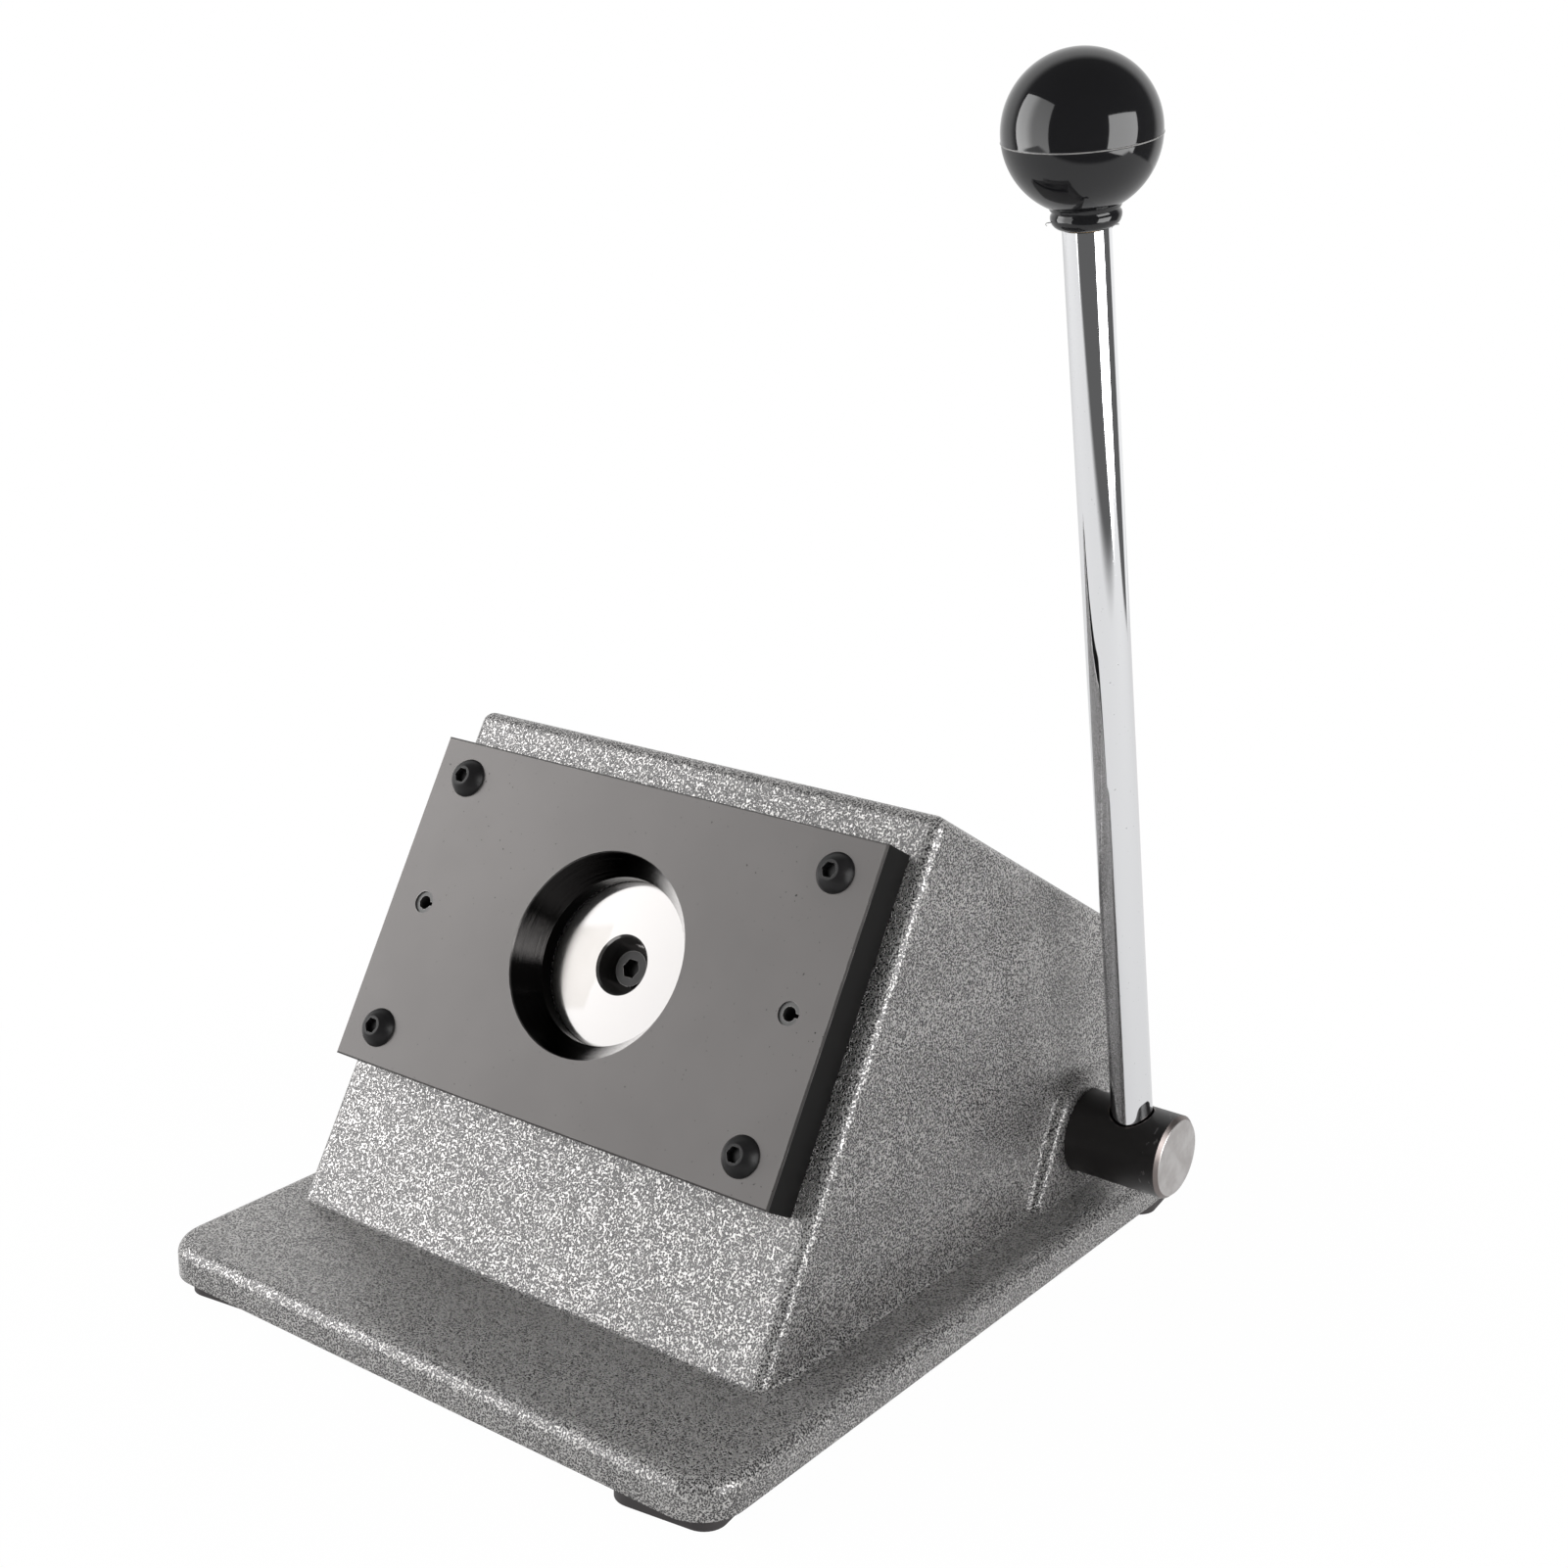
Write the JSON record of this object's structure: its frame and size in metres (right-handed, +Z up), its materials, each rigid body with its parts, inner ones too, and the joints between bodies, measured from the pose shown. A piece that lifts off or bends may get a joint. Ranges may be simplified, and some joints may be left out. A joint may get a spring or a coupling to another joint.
{
  "type": "badge circle cutter",
  "caption": "Bench cutter for round badge blanks: a side lever turns a cammed cross shaft that drives a round punch through a sloping die plate on a drafted cast frame.",
  "frame": {"origin": "on the table, under the middle of the whole machine's box at rest", "axes": "+X to the side with the lever, +Y to the back, away from the die plate, +Z up"},
  "size_m": [0.2164, 0.239, 0.3304],
  "materials": {
    "hammertone_paint": "grey hammertone enamel on a casting, with small pits and soft edges",
    "oxide_plate": "ground and blackened steel, worn to a warm satin grey",
    "ground_steel": "ground bare steel",
    "bright_steel": "bright turned or sheet steel",
    "black_screw": "blackened screw steel with bright socket edges",
    "oxide_shaft": "blackened turned steel, rubbed bright at its edges",
    "spring_steel": "oiled spring wire",
    "bronze_bush": "sintered bronze",
    "brass_insert": "turned brass",
    "chrome_rod": "polished bright plating",
    "black_phenolic": "glossy black moulded phenolic with a thin parting ridge",
    "cover_sheet": "black painted sheet steel",
    "foot_rubber": "soft dark brown-black rubber"
  },
  "bodies": {
    "frame": {"cast_frame": "hammertone_paint", "die_plate": "oxide_plate", "slot_spacers": "bright_steel", "plate_screws": "black_screw", "dowel_pins": "bright_steel", "ram_bush": "bronze_bush", "spring_washer": "bright_steel", "return_spring": "spring_steel", "shaft_bushes": "bronze_bush", "stop_pins": "bright_steel", "bottom_cover": "cover_sheet", "cover_screws": "black_screw", "rubber_feet": "foot_rubber"},
    "lever": {"drive_shaft": "oxide_shaft", "cam": "ground_steel", "cam_pin": "bright_steel", "thrust_collar": "oxide_shaft", "stop_collar": "oxide_shaft", "collar_screws": "black_screw", "lever_rod": "chrome_rod", "knob": "black_phenolic", "knob_insert": "brass_insert"},
    "punch_ram": {"ram": "ground_steel", "punch": "ground_steel", "punch_screw": "black_screw", "roller_pin": "ground_steel"},
    "cam_roller": {"roller": "ground_steel"}
  },
  "joints": [
    {"name": "lever_turn", "type": "hinge", "parent": "frame", "child": "lever", "pos_m": [-0.01344, 0.07315, 0.0299], "axis": [1, 0, 0], "range_deg": [0, 60]},
    {"name": "punch_slide", "type": "slide", "parent": "frame", "child": "punch_ram", "axis": [0, -0.866, 0.5], "range_m": [0, 0.007], "stiffness_N_per_m": 8000, "springref_m": -0.015, "deforming": ["return_spring"]},
    {"name": "roller_spin", "type": "hinge", "parent": "punch_ram", "child": "cam_roller", "pos_m": [-0.01344, 0.05037, 0.04305], "axis": [1, 0, 0], "range_deg": [-140, 0]}
  ],
  "couplings": [
    {"joint": "punch_slide", "follows": "lever_turn", "m_per_rad": 0.0066845},
    {"joint": "roller_spin", "follows": "lever_turn", "ratio": -2.31}
  ]
}
